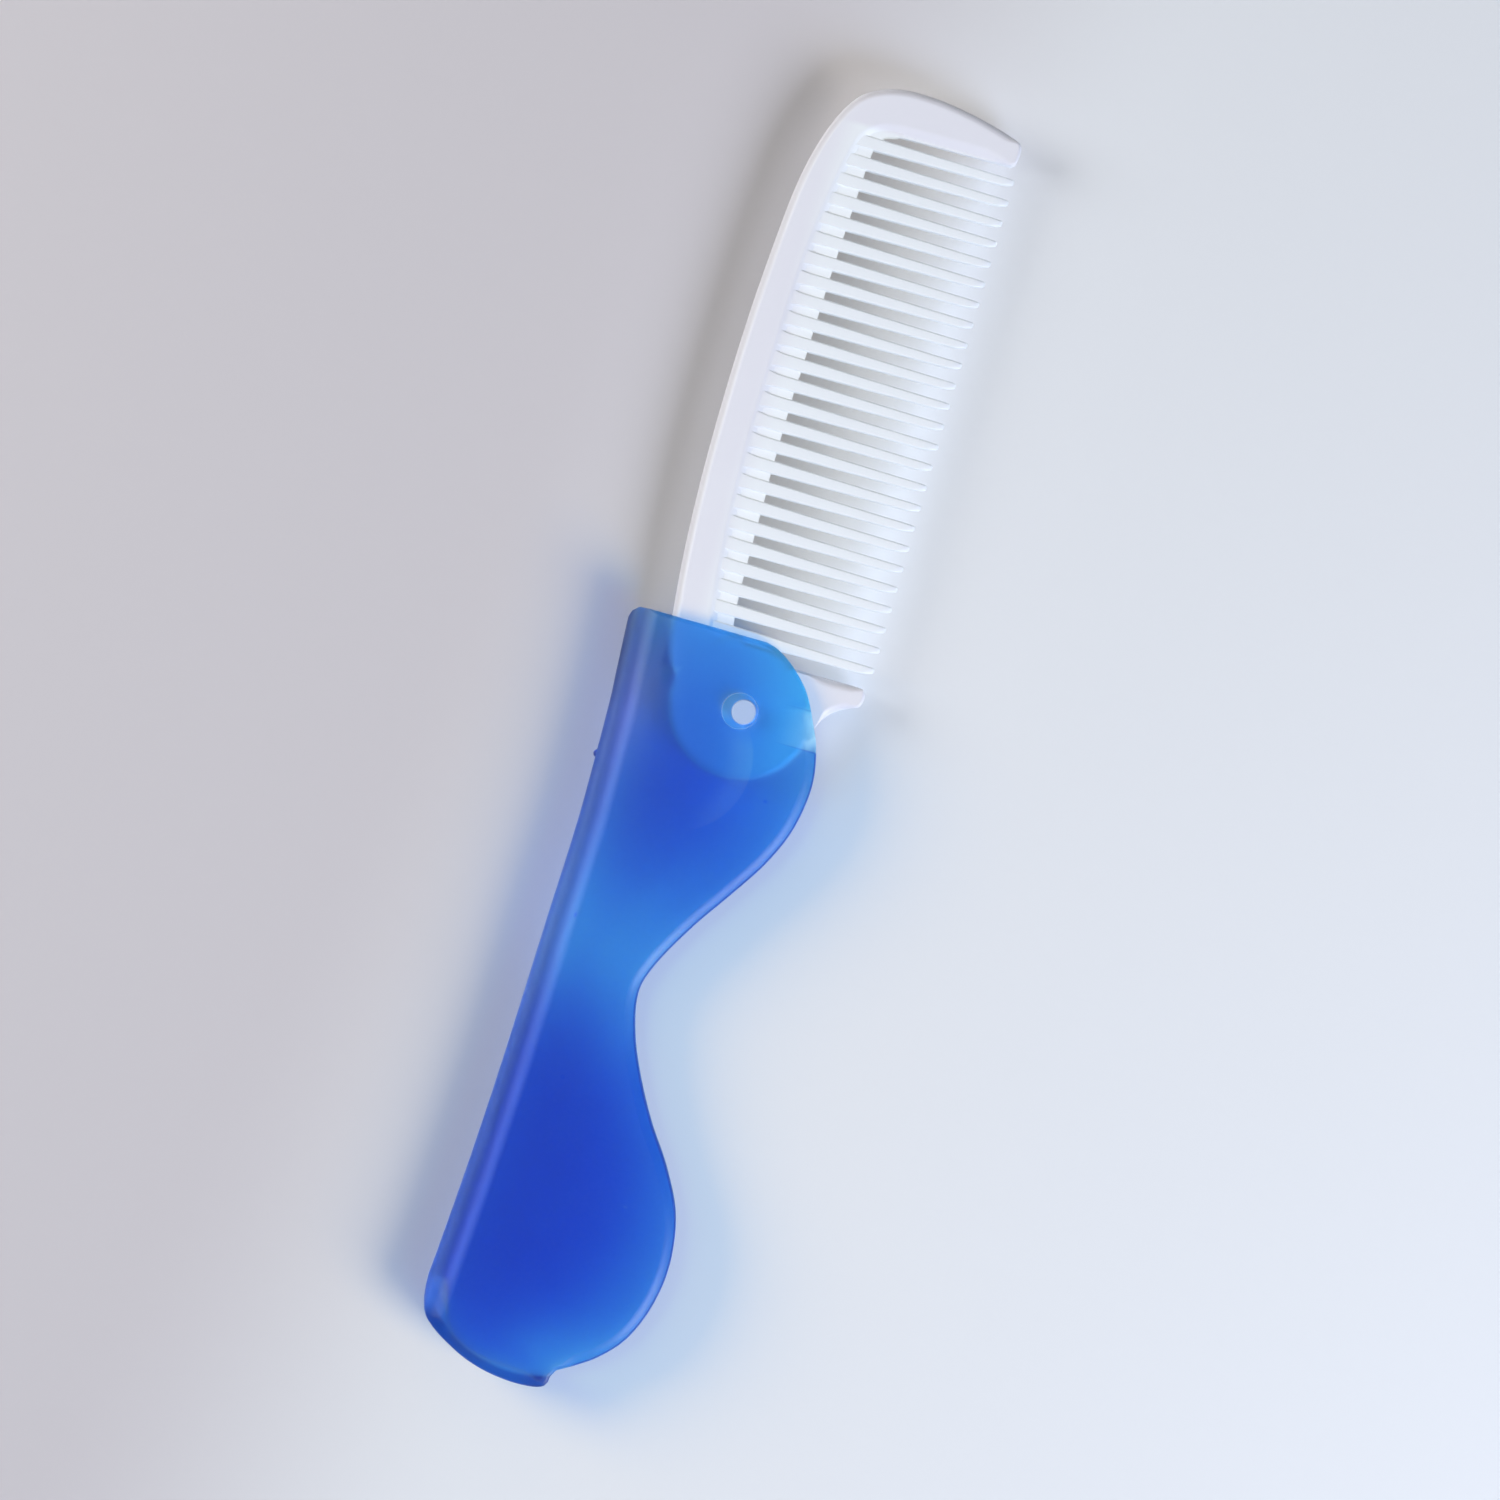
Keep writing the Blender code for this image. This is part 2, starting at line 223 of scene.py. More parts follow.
def handleBody():
    s = handleShape
    gap = s["pointGap"]
    spine = curveThrough(s["spine"], gap)
    foot = curveThrough(s["foot"], gap)
    wave = curveThrough(s["wave"], gap)
    top = curveThrough(s["top"], gap)
    outline = spine + foot[1:] + wave + top[1:]
    lip = Vector(s["foot"][-1])
    rims, mouths = [], []
    for i, p in enumerate(outline):
        nearLip = 1 - smoothStep((p - lip).length, *s["lipFade"])
        onTop = smoothStep(p.y, *s["topFade"])
        rims.append(s["rim"] + (s["topRim"] - s["rim"]) * onTop + (s["lipRim"] - s["rim"]) * nearLip)
        isMouth = len(spine) + len(foot) - 1 <= i
        mouths.append(s["mouthEdge"] * smoothStep(p.x, *s["mouthFade"]) if isMouth else 0.0)
    edge, wall, half = s["mouthEdge"], s["wall"], s["thickness"] / 2
    rimHeight = s["rim"] * s["rimDrop"]
    rises = arcHeights(rimHeight, s["rimSteps"]) + arcHeights(half, s["spineSteps"])
    rises += [rimHeight * t for t in s["rimExtra"]]
    rises += [wall - edge + edge * t for t in s["mouthSteps"]]
    rings = []
    for z in mirroredHeights(rises, s["thickness"]):
        rise = min(z, s["thickness"] - z)
        share = min(max((rise - (wall - edge)) / edge, 0.0), 1.0)
        inner = 1 - math.sqrt(1 - share ** 2)
        depths = [rimDepth(rim, rise) + mouth * inner for rim, mouth in zip(rims, mouths)]
        back = roundDepth(half, rise)
        rings.append([(max(p.x, lineX(spine, p.y) + back), p.y, z) for p in drawnIn(outline, depths)])
    return ringStack(rings), spine


def handleHollow(spine):
    s = handleShape
    lowest = s["endWall"][0][1] + s["hollowCorner"]
    inner = [Vector((p.x + s["wall"], p.y)) for p in spine if p.y > lowest]
    endWall = curveThrough(s["endWall"], s["pointGap"])
    right, up, down = s["cutReach"]
    outline = [Vector((inner[0].x, up))] + inner + endWall + [Vector((right, down)), Vector((right, up))]
    isWall = [0.0] * (len(inner) + 1) + [s["innerFillet"]] * len(endWall) + [0.0, 0.0]
    height = s["thickness"] - 2 * s["wall"]
    rises = arcHeights(height / 2, s["hollowSteps"]) + arcHeights(s["innerFillet"], s["filletSteps"])
    rings = []
    for z in mirroredHeights(rises, height):
        rise = min(z, height - z)
        back = roundDepth(height / 2, rise)
        depths = [roundDepth(fillet, rise) if fillet else 0.0 for fillet in isWall]
        plan = drawnIn(outline, depths)
        rings.append([(max(p.x, lineX(inner, p.y) + back), p.y, z + s["wall"]) for p in plan])
    return ringStack(rings)


def turned(profile, centre, sides):  # a closed round body from radius and height pairs, lowest first
    x, y = centre
    angles = [2 * math.pi * i / sides for i in range(sides)]
    rings = []
    for radius, z in profile:
        rings.append([(x + radius * math.cos(a), y + radius * math.sin(a), z) for a in angles])
    return ringStack(rings)


def holeCutter():
    s, flare, top = holeShape, holeShape["flare"], handleShape["thickness"]
    low = [(s["radius"] + flare, -1.0)]  # starts below the cheek
    for k in s["flareSteps"]:
        low.append((s["radius"] + flare * k, flare * (1 - math.sqrt(1 - (1 - k) ** 2))))
    high = [(radius, top - z) for radius, z in reversed(low)]
    return turned(low + high, (s["x"], 0.0), s["sides"])


def rampCutter(side):  # a wedge out of a cheek's inner face, deepest at the cheek's edge
    s, wall = rampShape, handleShape["wall"]
    face = pivot.z / mm + side * (handleShape["thickness"] / 2 - wall)
    bm = bmesh.new()
    bmesh.ops.create_cube(bm, size=1.0)
    for vert in bm.verts:
        isOuter = vert.co.x > 0
        isDeep = vert.co.z * side > 0
        depth = s["depth"] if isOuter else 0.0
        vert.co.x = s["end"] if isOuter else s["start"]
        vert.co.y = s["high"] if vert.co.y > 0 else s["low"]
        vert.co.z = face + side * (depth if isDeep else -wall)
    bmesh.ops.recalc_face_normals(bm, faces=bm.faces)
    return bm


def stopLug():
    s, wall, top = lugShape, handleShape["wall"], handleShape["thickness"]
    bm = ringStack([[(x, y, z) for x, y in s["plan"]] for z in (wall / 2, top - wall / 2)])
    upright = [e for e in bm.edges if abs(e.verts[0].co.z - e.verts[1].co.z) > wall]
    bmesh.ops.bevel(
        bm, geom=upright, offset=s["edge"], affect="EDGES", segments=s["steps"], profile=0.5, material=-1,
    )
    return bm


def gateNub():
    s = nubShape
    x, y = s["at"]
    around, along = s["sides"]
    bm = bmesh.new()
    bmesh.ops.create_uvsphere(bm, u_segments=around, v_segments=along, radius=s["radius"])
    bmesh.ops.scale(bm, vec=s["stretch"], verts=bm.verts)
    bmesh.ops.translate(bm, vec=(x + s["radius"] - s["proud"], y, pivot.z / mm), verts=bm.verts)
    return bm


def makeHandle(material):
    bm, spine = handleBody()
    handle = toObject("handleShell", bm)
    combine(handle, toObject("gateNub", gateNub()), "UNION")
    combine(handle, toObject("channel", handleHollow(spine)), "DIFFERENCE")
    combine(handle, toObject("pinHole", holeCutter()), "DIFFERENCE")
    for side in (-1, 1):
        combine(handle, toObject("leadIn", rampCutter(side)), "DIFFERENCE")
    combine(handle, toObject("stopLug", stopLug()), "UNION")
    handle.data.materials.clear()
    handle.data.materials.append(material)
    fromSpine = handle.data.attributes.new("fromSpine", "FLOAT", "POINT")
    for vert, mark in zip(handle.data.vertices, fromSpine.data):
        x, y = (vert.co.x - pivot.x) / mm, (vert.co.y - pivot.y) / mm
        mark.value = x - lineX(spine, y)
    finishShading(handle, handleShape["smoothAngle"])
    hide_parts("handle")
    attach(handle, "handle_body")
    print("handle made:", len(handle.data.polygons), "faces")


combShape = {
    "thickness": 4.2,
    "edge": 1.1,  # rounding of the back and the heel
    "edgeSteps": 6,
    "tipEdge": 0.45,  # and at the ends of guard and heel
    "tipFade": (12.4, 14.0),  # x between which one becomes the other
    "tangFade": (0.1, 2.0),  # distances past the tang's rim over which the rounding grows
    "slope": 1.7,  # width of the slope down to the web
    "slopeDrop": 0.55,  # its depth, which ends a little below the web's face
    "slopeSteps": (0.03, 0.12, 0.3, 0.5, 0.7, 0.88, 0.97, 1.0),
    "slopeFade": (10.0, 12.6),  # x between which the slope ends at guard and heel
    "heelTop": 7.7,  # y up to which the inner outline is the heel's
    "heelFade": (-3.4, 2.0),  # x between which the slope narrows on the heel
    "heelLoss": 0.8,  # and the share that it loses there
    "web": 3.3,
    "webEdge": 0.12,
    "webEdgeFrom": -5.2,  # x past which the web's end has that edge
    "pointGap": 0.5,
    "smoothAngle": 40,
    "heelLower": [
        (-9.3, 0.9), (-7.0, -1.5), (7.0, -1.5), (9.08, -0.8), (9.35, 0.4), (9.95, 1.7), (10.85, 2.85),
        (11.9, 3.65), (13.1, 4.25), (14.15, 4.7), (14.5, 5.45), (14.5, 6.5), (14.1, 7.1),
    ],
    "heelUpper": [(13.0, 7.2), (8.0, 7.2), (4.0, 7.2), (0.0, 7.2), (-3.4, 7.2)],
    "rootLine": [
        (-5.0, 7.9), (-6.0, 10.0), (-6.8, 15.5), (-7.5, 24.0), (-7.9, 33.0), (-7.95, 45.0), (-7.7, 56.0),
        (-7.2, 63.0), (-6.4, 69.4), (-5.5, 74.2), (-4.6, 76.2), (-2.8, 77.25), (0.0, 77.5), (6.0, 77.6),
        (12.5, 77.7),
    ],
    "guardEnd": [(13.75, 77.75), (14.3, 78.1), (14.5, 79.0), (14.5, 80.1), (14.15, 80.95)],
    "back": [
        (14.15, 80.95), (12.2, 81.7), (9.7, 82.38), (7.2, 82.93), (3.45, 83.5), (0.6, 83.68), (-2.2, 83.58),
        (-5.0, 82.85), (-7.6, 81.2), (-9.6, 78.1), (-11.2, 73.6), (-12.4, 67.5), (-13.2, 58.0), (-13.7, 48.0),
        (-13.86, 37.5), (-13.75, 28.0), (-13.3, 18.5), (-12.6, 11.0), (-12.1, 7.2), (-11.6, 4.9),
        (-11.0, 3.55), (-9.8, 2.2),
    ],
    "webEnd": [
        (-0.6, 78.1), (-1.4, 77.45), (-3.4, 76.7), (-4.15, 74.4), (-4.55, 67.0), (-4.95, 57.0), (-5.2, 44.0),
        (-5.2, 30.0), (-5.05, 18.0), (-4.75, 12.0), (-4.1, 8.4), (-3.6, 6.6),
    ],
    "webRoot": [
        (-6.0, 6.6), (-7.0, 10.0), (-7.8, 15.5), (-8.5, 24.0), (-8.9, 33.0), (-8.95, 45.0), (-8.7, 56.0),
        (-8.2, 63.0), (-7.4, 69.4), (-6.5, 74.2), (-4.6, 78.4),
    ],
}

toothShape = {
    "count": 25,
    "pitch": 2.754,
    "first": 9.6,
    "sections": [  # x, half width, lean towards the tip, half height, rounding
        (-9.60, 1.30, 0.00, 1.95, 0.22),
        (-9.10, 1.13, 0.00, 1.97, 0.22),
        (-8.60, 0.99, 0.00, 1.96, 0.22),
        (-8.00, 0.90, 0.00, 1.95, 0.22),
        (-7.20, 0.86, 0.00, 1.93, 0.22),
        (-5.00, 0.84, 0.00, 1.87, 0.22),
        (-1.00, 0.79, 0.00, 1.70, 0.22),
        (4.00, 0.71, 0.00, 1.49, 0.22),
        (9.00, 0.64, 0.00, 1.25, 0.22),
        (12.50, 0.60, 0.00, 1.06, 0.22),
        (13.30, 0.57, 0.02, 0.99, 0.22),
        (13.90, 0.51, 0.06, 0.88, 0.22),
        (14.35, 0.44, 0.11, 0.73, 0.20),
        (14.62, 0.37, 0.15, 0.56, 0.16),
        (14.76, 0.29, 0.17, 0.38, 0.11),
        (14.80, 0.20, 0.18, 0.22, 0.06),
    ],
    "cornerSteps": 3,
    "cornerLimit": 0.95,  # share of the half width or height that a rounding may take
}

tangShape = {
    "centre": (-0.5, 0.6),
    "radius": 9.55,
    "relief": 0.05,
    "edge": 0.9,  # soft, and the plastic over it blurs it further
    "edgeSteps": 6,
    "sides": 160,
    "flat": 8.3,  # radius where the disc stays inside the cheek's round corner
    "flatFrom": (30.0, 42.0, 100.0, 112.0),  # degrees where that starts, is full, starts to end and ends
}
pinShape = {"radius": 1.65, "recess": 0.3, "edge": 0.2, "edgeSteps": 4, "sides": 72}


def combFrame():
    s = combShape
    gap = s["pointGap"]
    heelLower = [Vector(s["heelLower"][0])] + curveThrough(s["heelLower"][1:], gap)
    inner = curveThrough(s["heelUpper"], gap) + curveThrough(s["rootLine"], gap)
    outer = curveThrough(s["guardEnd"] + s["back"][1:], gap)
    outline = heelLower + inner + outer
    tang = Vector(tangShape["centre"])
    edges, slopes = [], []
    for i, p in enumerate(outline):
        atTip = smoothStep(p.x, *s["tipFade"])
        pastTang = smoothStep((p - tang).length - tangShape["radius"], *s["tangFade"])
        edges.append((s["edge"] + (s["tipEdge"] - s["edge"]) * atTip) * pastTang)
        isInner = len(heelLower) <= i < len(heelLower) + len(inner)
        onHeel = smoothStep(p.x, *s["heelFade"]) if p.y < s["heelTop"] else 0.0
        share = (1 - smoothStep(p.x, *s["slopeFade"])) * (1 - s["heelLoss"] * onHeel)
        slopes.append(share if isInner else 0.0)
    middle, half = pivot.z / mm, s["thickness"] / 2
    rises = arcHeights(s["edge"], s["edgeSteps"]) + [s["slopeDrop"] * t for t in s["slopeSteps"]]
    rings = []
    for z in mirroredHeights(rises, s["thickness"]):
        rise = min(z, s["thickness"] - z)
        turn = min(rise / s["slopeDrop"], 1.0)
        slope = s["slope"] * math.acos(1 - 2 * (1 - turn)) / math.pi  # gentle at both ends
        depths = [slope * k + roundDepth(edge, rise) * (1 - k) for edge, k in zip(edges, slopes)]
        rings.append([(p.x, p.y, middle - half + z) for p in drawnIn(outline, depths)])
    return ringStack(rings)


def combWeb():
    s = combShape
    outline = curveThrough(s["webEnd"], s["pointGap"]) + curveThrough(s["webRoot"], s["pointGap"])
    middle, half, edge = pivot.z / mm, s["web"] / 2, s["webEdge"]
    low = [(-half, edge), (edge / 3 - half, edge / 3), (edge - half, 0.0)]  # heights, how far drawn in there
    high = [(-z, depth) for z, depth in reversed(low)]
    rings = []
    for z, depth in low + high:
        depths = [depth if p.x > s["webEdgeFrom"] else 0.0 for p in outline]
        rings.append([(p.x, p.y, middle + z) for p in drawnIn(outline, depths)])
    return ringStack(rings)


def roundedSection(halfWidth, halfHeight, edge):  # a rectangle with round corners, about the middle
    steps, limit = toothShape["cornerSteps"], toothShape["cornerLimit"]
    edge = min(edge, halfWidth * limit, halfHeight * limit)
    points = []
    for corner in range(4):
        cornerY = (halfWidth - edge) * (1 if corner in (0, 3) else -1)
        cornerZ = (halfHeight - edge) * (1 if corner in (0, 1) else -1)
        for i in range(steps + 1):
            angle = math.pi / 2 * (corner + i / steps)
            points.append((cornerY + edge * math.cos(angle), cornerZ + edge * math.sin(angle)))
    return points


def oneTooth(y):
    rings = []
    for x, halfWidth, lean, halfHeight, edge in toothShape["sections"]:
        section = roundedSection(halfWidth, halfHeight, edge)
        rings.append([(x, y + lean + dy, pivot.z / mm + dz) for dy, dz in section])
    return ringStack(rings)


def allTeeth():
    bm = bmesh.new()
    for number in range(toothShape["count"]):
        tooth = oneTooth(toothShape["first"] + number * toothShape["pitch"])
        carrier = bpy.data.meshes.new("tooth")
        tooth.to_mesh(carrier)
        tooth.free()
        bm.from_mesh(carrier)
        bpy.data.meshes.remove(carrier)
    return bm


def tangDisc():
    s = tangShape
    x, y = s["centre"]
    thickness = combShape["thickness"] - 2 * s["relief"]
    first, full, last, end = s["flatFrom"]
    plan = []
    for i in range(s["sides"]):
        degrees = 360.0 * i / s["sides"]
        flat = smoothStep(degrees, first, full) * (1 - smoothStep(degrees, last, end))
        radius = s["radius"] + (s["flat"] - s["radius"]) * flat
        angle = math.radians(degrees)
        plan.append((radius, math.cos(angle), math.sin(angle)))
    rings = []
    for z in mirroredHeights(arcHeights(s["edge"], s["edgeSteps"]), thickness):
        depth = roundDepth(s["edge"], min(z, thickness - z))
        height = pivot.z / mm - thickness / 2 + z
        rings.append([
            (x + (radius - depth) * cosine, y + (radius - depth) * sine, height)
            for radius, cosine, sine in plan
        ])
    return ringStack(rings)


def pinStubs():
    s, top = pinShape, handleShape["thickness"]
    low = []
    for rise in arcHeights(s["edge"], s["edgeSteps"]):
        low.append((s["radius"] - roundDepth(s["edge"], rise), s["recess"] + rise))
    high = [(radius, top - z) for radius, z in reversed(low)]
    return turned(low + high, (0.0, 0.0), s["sides"])


def makeComb(material):
    comb = toObject("combBlade", combFrame())
    combine(comb, toObject("web", combWeb()), "UNION")
    combine(comb, toObject("teeth", allTeeth()), "UNION")
    combine(comb, toObject("tang", tangDisc()), "UNION")
    combine(comb, toObject("pin", pinStubs()), "UNION")
    comb.data.materials.clear()
    comb.data.materials.append(material)
    finishShading(comb, combShape["smoothAngle"])
    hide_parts("comb")
    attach(comb, "comb_body")
    print("comb made:", len(comb.data.polygons), "faces")


class Value:  # a shader socket that Python sums act on
    def __init__(self, tree, socket):
        self.tree = tree
        self.socket = socket

    def math(self, operation, *others, clamp=False):
        node = self.tree.nodes.new("ShaderNodeMath")
        node.operation = operation
        node.use_clamp = clamp
        for slot, item in zip(node.inputs, (self, *others)):
            if isinstance(item, Value):
                self.tree.links.new(item.socket, slot)
            else:
                slot.default_value = item
        return Value(self.tree, node.outputs[0])

    def constant(self, number):
        node = self.tree.nodes.new("ShaderNodeValue")
        node.outputs[0].default_value = number
        return Value(self.tree, node.outputs[0])

    def __add__(self, other):
        return self.math("ADD", other)

    def __sub__(self, other):
        return self.math("SUBTRACT", other)

    def __mul__(self, other):
        return self.math("MULTIPLY", other)

    def __truediv__(self, other):
        return self.math("DIVIDE", other)

    def __pow__(self, other):
        return self.math("POWER", other)

    def __rsub__(self, other):
        return self.constant(other).math("SUBTRACT", self)

    __radd__ = __add__
    __rmul__ = __mul__


class Paint:  # one material's node tree
    def __init__(self, name):
        self.material = bpy.data.materials.new(name)
        self.material.use_nodes = True
        self.tree = self.material.node_tree
        self.tree.nodes.clear()
        self.output = self.tree.nodes.new("ShaderNodeOutputMaterial")

    def node(self, kind, settings=None, inputs=None):
        node = self.tree.nodes.new("ShaderNode" + kind)
        for key, setting in (settings or {}).items():
            setattr(node, key, setting)
        for key, item in (inputs or {}).items():
            if isinstance(item, Value):
                self.tree.links.new(item.socket, node.inputs[key])
            else:
                node.inputs[key].default_value = item
        return node

    def value(self, node, output=0):
        return Value(self.tree, node.outputs[output])

    def place(self):  # millimetres about the pin
        source = self.value(self.node("TexCoord"), "Object")
        moved = self.node("VectorMath", {"operation": "SUBTRACT"}, {0: source, 1: (pivot.x, pivot.y, 0.0)})
        scaled = self.node("VectorMath", {"operation": "SCALE"}, {0: self.value(moved), "Scale": 1 / mm})
        parts = self.node("SeparateXYZ", {}, {0: self.value(scaled)})
        return self.value(scaled), self.value(parts, 0), self.value(parts, 1), self.value(parts, 2)

    def noise(self, vector, scale, detail):
        inputs = {"Vector": vector, "Scale": scale, "Detail": detail}
        return self.value(self.node("TexNoise", {}, inputs), "Fac")

    def ease(self, value, low, high):  # 0 below low, 1 above high
        settings = {"interpolation_type": "SMOOTHSTEP"}
        inputs = {"Value": value, "From Min": low, "From Max": high}
        return self.value(self.node("MapRange", settings, inputs))

    def between(self, value, coming, going):  # 0, then 1 from the first range to the second, then 0 again
        return self.ease(value, *coming) * (1 - self.ease(value, *going))

    def distance(self, x, y, middle):  # in plan
        return ((x - middle[0]) ** 2.0 + (y - middle[1]) ** 2.0).math("SQRT")

    def spot(self, x, y, middle, reach, sharpness=1.0):  # 1 in the middle, dying away softly
        away = ((x - middle[0]) / reach[0]) ** 2.0 + ((y - middle[1]) / reach[1]) ** 2.0
        return ((away ** sharpness) * -1.0).math("EXPONENT")

    def relief(self, height, strength, distance):
        inputs = {"Strength": strength, "Distance": distance, "Height": height}
        return self.value(self.node("Bump", {}, inputs))

    def blendColours(self, factor, first, second, kind="MIX"):
        node = self.node("Mix", {"data_type": "RGBA", "blend_type": kind}, {"Factor": factor})
        for slot, item in ((node.inputs[6], first), (node.inputs[7], second)):
            if isinstance(item, Value):
                self.tree.links.new(item.socket, slot)
            else:
                slot.default_value = (*item, 1.0)
        return self.value(node, 2)

    def finish(self, shader):
        self.tree.links.new(self.value(shader).socket, self.output.inputs["Surface"])
        return self.material

    def letThrough(self, shader, light, factor):  # at factor 1 a ray passes on, dimmed to the light's colour
        clear = self.node("BsdfTransparent", {}, {"Color": (*light, 1.0)})
        inputs = {0: factor, 1: self.value(shader), 2: self.value(clear)}
        return self.finish(self.node("MixShader", {}, inputs))


def about(value, span):  # the two ends of a span that is given from the value
    return value + span[0], value + span[1]


bluePlastic = {
    "deepTint": (0.085, 0.36, 0.94),  # what one wall lets through where the map is highest: denser plastic and painted shade in the cheeks' middle
    "paleTint": (0.43, 0.89, 1.0),
    "shadeAndSpeckSpots": [  # middle, reach, strength and sharpness: the broad spots are painted shade, darker in the cheeks' middle where less light comes through, and the broad negative one is paler painted light near the foot; the small ones are specks in the plastic
        ((-14.0, -67.0), (25.5, 27.4), 1.0, 2.3),
        ((1.0, -88.0), (9.0, 6.0), -0.2, 1.0),
        ((-4.0, -14.6), (15.5, 16.5), 0.76, 1.0),
        ((-7.5, 1.5), (10.0, 10.0), 0.33, 1.0),
        ((5.85, -10.4), (0.28, 0.22), 0.35, 1.0),
        ((-13.8, -31.3), (0.2, 0.34), 0.6, 1.0),
        ((-9.6, -52.0), (0.22, 0.22), 0.3, 1.0),
        ((2.9, -66.0), (0.3, 0.2), -0.25, 1.0),
    ],
    "mottle": (0.13, 0.12),  # cloudiness: scale for a millimetre, and how much density it adds or takes
    "grain": (1.5, 0.10),  # the same, finer
    "detail": 3.0,
    "relief": (0.08, 0.0001),  # strength, and depth in metres
    "roughness": 0.40,
    "grainRoughness": 0.1,
    "ior": 1.35,
    "paintedLightTint": (0.53, 0.70, 1.0),  # painted light: a paler cheek between spine and tang, lifting the shade that the tang casts there
    "paintedLightSpot": ((-13.0, 1.0), (2.6, 8.0)),
    "shadeOverTang": ((0.57, 0.69, 0.87), (0.63, 0.99, 1.0)),  # painted shade on the cheeks where the tang lies below, as factors left and right; less towards the mouth
    "overTangFade": (-4.0, 8.0),  # x between left and right
    "tangFade": (-0.6, 0.5),  # from the tang's rim
    "bladeFade": ((-12.5, -11.6), (2.4, 3.8)),  # x and y where the blade comes out of the tang
    "leafTint": (1.85, 1.2, 1.03),  # a paler sickle below the pin, as a factor
    "leafMiddle": (-6.9, -7.7),
    "leafRim": ((5.5, 8.5), (9.75, 10.1)),  # distances between which it comes and goes
    "leafEnds": ((-3.5, 0.5), (-5.0, -1.0)),  # x between which it comes, y between which it goes
    "sheenTint": (1.5, 1.02, 0.97),  # painted sheen: a redder veil towards the spine's upper part, as a factor
    "sheenCloud": ((-12.5, -8.0), (8.0, 11.0)),
    "rampTint": (0.58, 0.93, 1.0),  # the thinned cheek over the lead-in ramp
    "rampFade": (0.0, -3.0),  # from the ramp's start and from its end
    "rampSides": ((-0.1, 0.1), (-0.9, 0.4)),  # from its low side and from its high side
    "lineTint": (0.55, 0.62, 0.8),  # along the ramp's sides, as a factor
    "lineShape": ((6.0, 0.13), 2.0),  # reach and sharpness
    "steepTint": (0.36, 0.33, 0.86),  # painted sheen: a purple tone where the spine's rounding stands steep over its inner wall
    "steepShare": 0.4,
    "outerTint": (0.09, 0.14, 0.46),  # painted shade: the spine's outer side, darker
    "outerFade": (0.2, 1.2),  # distances from the spine's outer side where one becomes the other
    "spineFade": (2.2, 4.2),  # and where the spine's tint ends
    "edgeTint": (0.16, 0.24, 0.62),  # painted shade: a darker band on the cheeks' outer edge, below the soft bevel
    "edgeBand": ((2.6, 2.8), (3.3, 3.42)),  # heights from the middle where it comes and goes
    "edgeFrom": (3.0, 3.5),  # distances from the spine's outer side
    "edgeGap": 0.15,  # how softly it stops beside the ramp
    "solidTint": (0.105, 0.205, 0.60),  # the end wall, seen along its height
    "solidMiddle": (-5.5, -75.0),  # of its round inner side
    "solidFade": (15.3, 15.9),  # distances from there
    "solidTop": (-86.5, -84.0),  # y where it goes
    "seeThrough": 0.98,
    "softLight": (0.42, 0.73, 1.0),  # what each face lets through of the light that falls beyond it
    "openSpine": 0.88,  # share of it at the thicker spine
    "openFade": (-16.5, -13.0),  # x between spine and cheek
    "openDense": 0.88,  # share of it where the map of density and painted shade is highest
}


def blueShadeAndDensity(paint, vector, grain, x, y):  # 0 where the cheek is palest, 1 where it is darkest: cloudy density, specks and painted shade
    s = bluePlastic
    cloud = paint.noise(vector, s["mottle"][0], s["detail"])
    shadeAndDensity = (cloud - 0.5) * s["mottle"][1] + (grain - 0.5) * s["grain"][1]
    # the broad spots paint shade into the cheeks' middle, the small ones are specks
    for middle, reach, strength, sharpness in s["shadeAndSpeckSpots"]:
        shadeAndDensity = shadeAndDensity + paint.spot(x, y, middle, reach, sharpness) * strength
    return shadeAndDensity.math("MINIMUM", 1.0).math("MAXIMUM", 0.0)


def blueAroundPin(paint, tint, x, y):  # the cheeks over and below the tang, with painted light, shade and sheen
    s = bluePlastic
    # painted light between spine and tang
    tint = paint.blendColours(paint.spot(x, y, *s["paintedLightSpot"]), tint, s["paintedLightTint"])
    fromTang = paint.distance(x, y, tangShape["centre"])
    onTang = 1 - paint.ease(fromTang, *about(tangShape["radius"], s["tangFade"]))
    bladeX, bladeY = s["bladeFade"]
    onBlade = paint.ease(x, *bladeX) * paint.ease(y, *bladeY)
    # painted shade over the tang
    tangShade = paint.blendColours(paint.ease(x, *s["overTangFade"]), *s["shadeOverTang"])
    tint = paint.blendColours(onTang.math("MAXIMUM", onBlade), tint, tangShade, "MULTIPLY")
    leafX, leafY = s["leafEnds"]
    onLeaf = paint.between(paint.distance(x, y, s["leafMiddle"]), *s["leafRim"])
    onLeaf = onLeaf * paint.ease(x, *leafX) * (1 - paint.ease(y, *leafY))
    tint = paint.blendColours(onLeaf, tint, s["leafTint"], "MULTIPLY")
    # painted sheen towards the spine's upper part
    return paint.blendColours(paint.spot(x, y, *s["sheenCloud"]), tint, s["sheenTint"], "MULTIPLY")


def blueOnRamp(paint, tint, x, y):
    s, r = bluePlastic, rampShape
    low, high = s["rampSides"]
    onRamp = paint.ease(x, r["start"] + s["rampFade"][0], r["end"] + s["rampFade"][1])
    onRamp = onRamp * paint.between(y, about(r["low"], low), about(r["high"], high))
    tint = paint.blendColours(onRamp, tint, s["rampTint"])
    for side in (r["low"], r["high"]):
        line = paint.spot(x, y, (r["end"], side), *s["lineShape"])
        tint = paint.blendColours(line, tint, s["lineTint"], "MULTIPLY")
    return tint


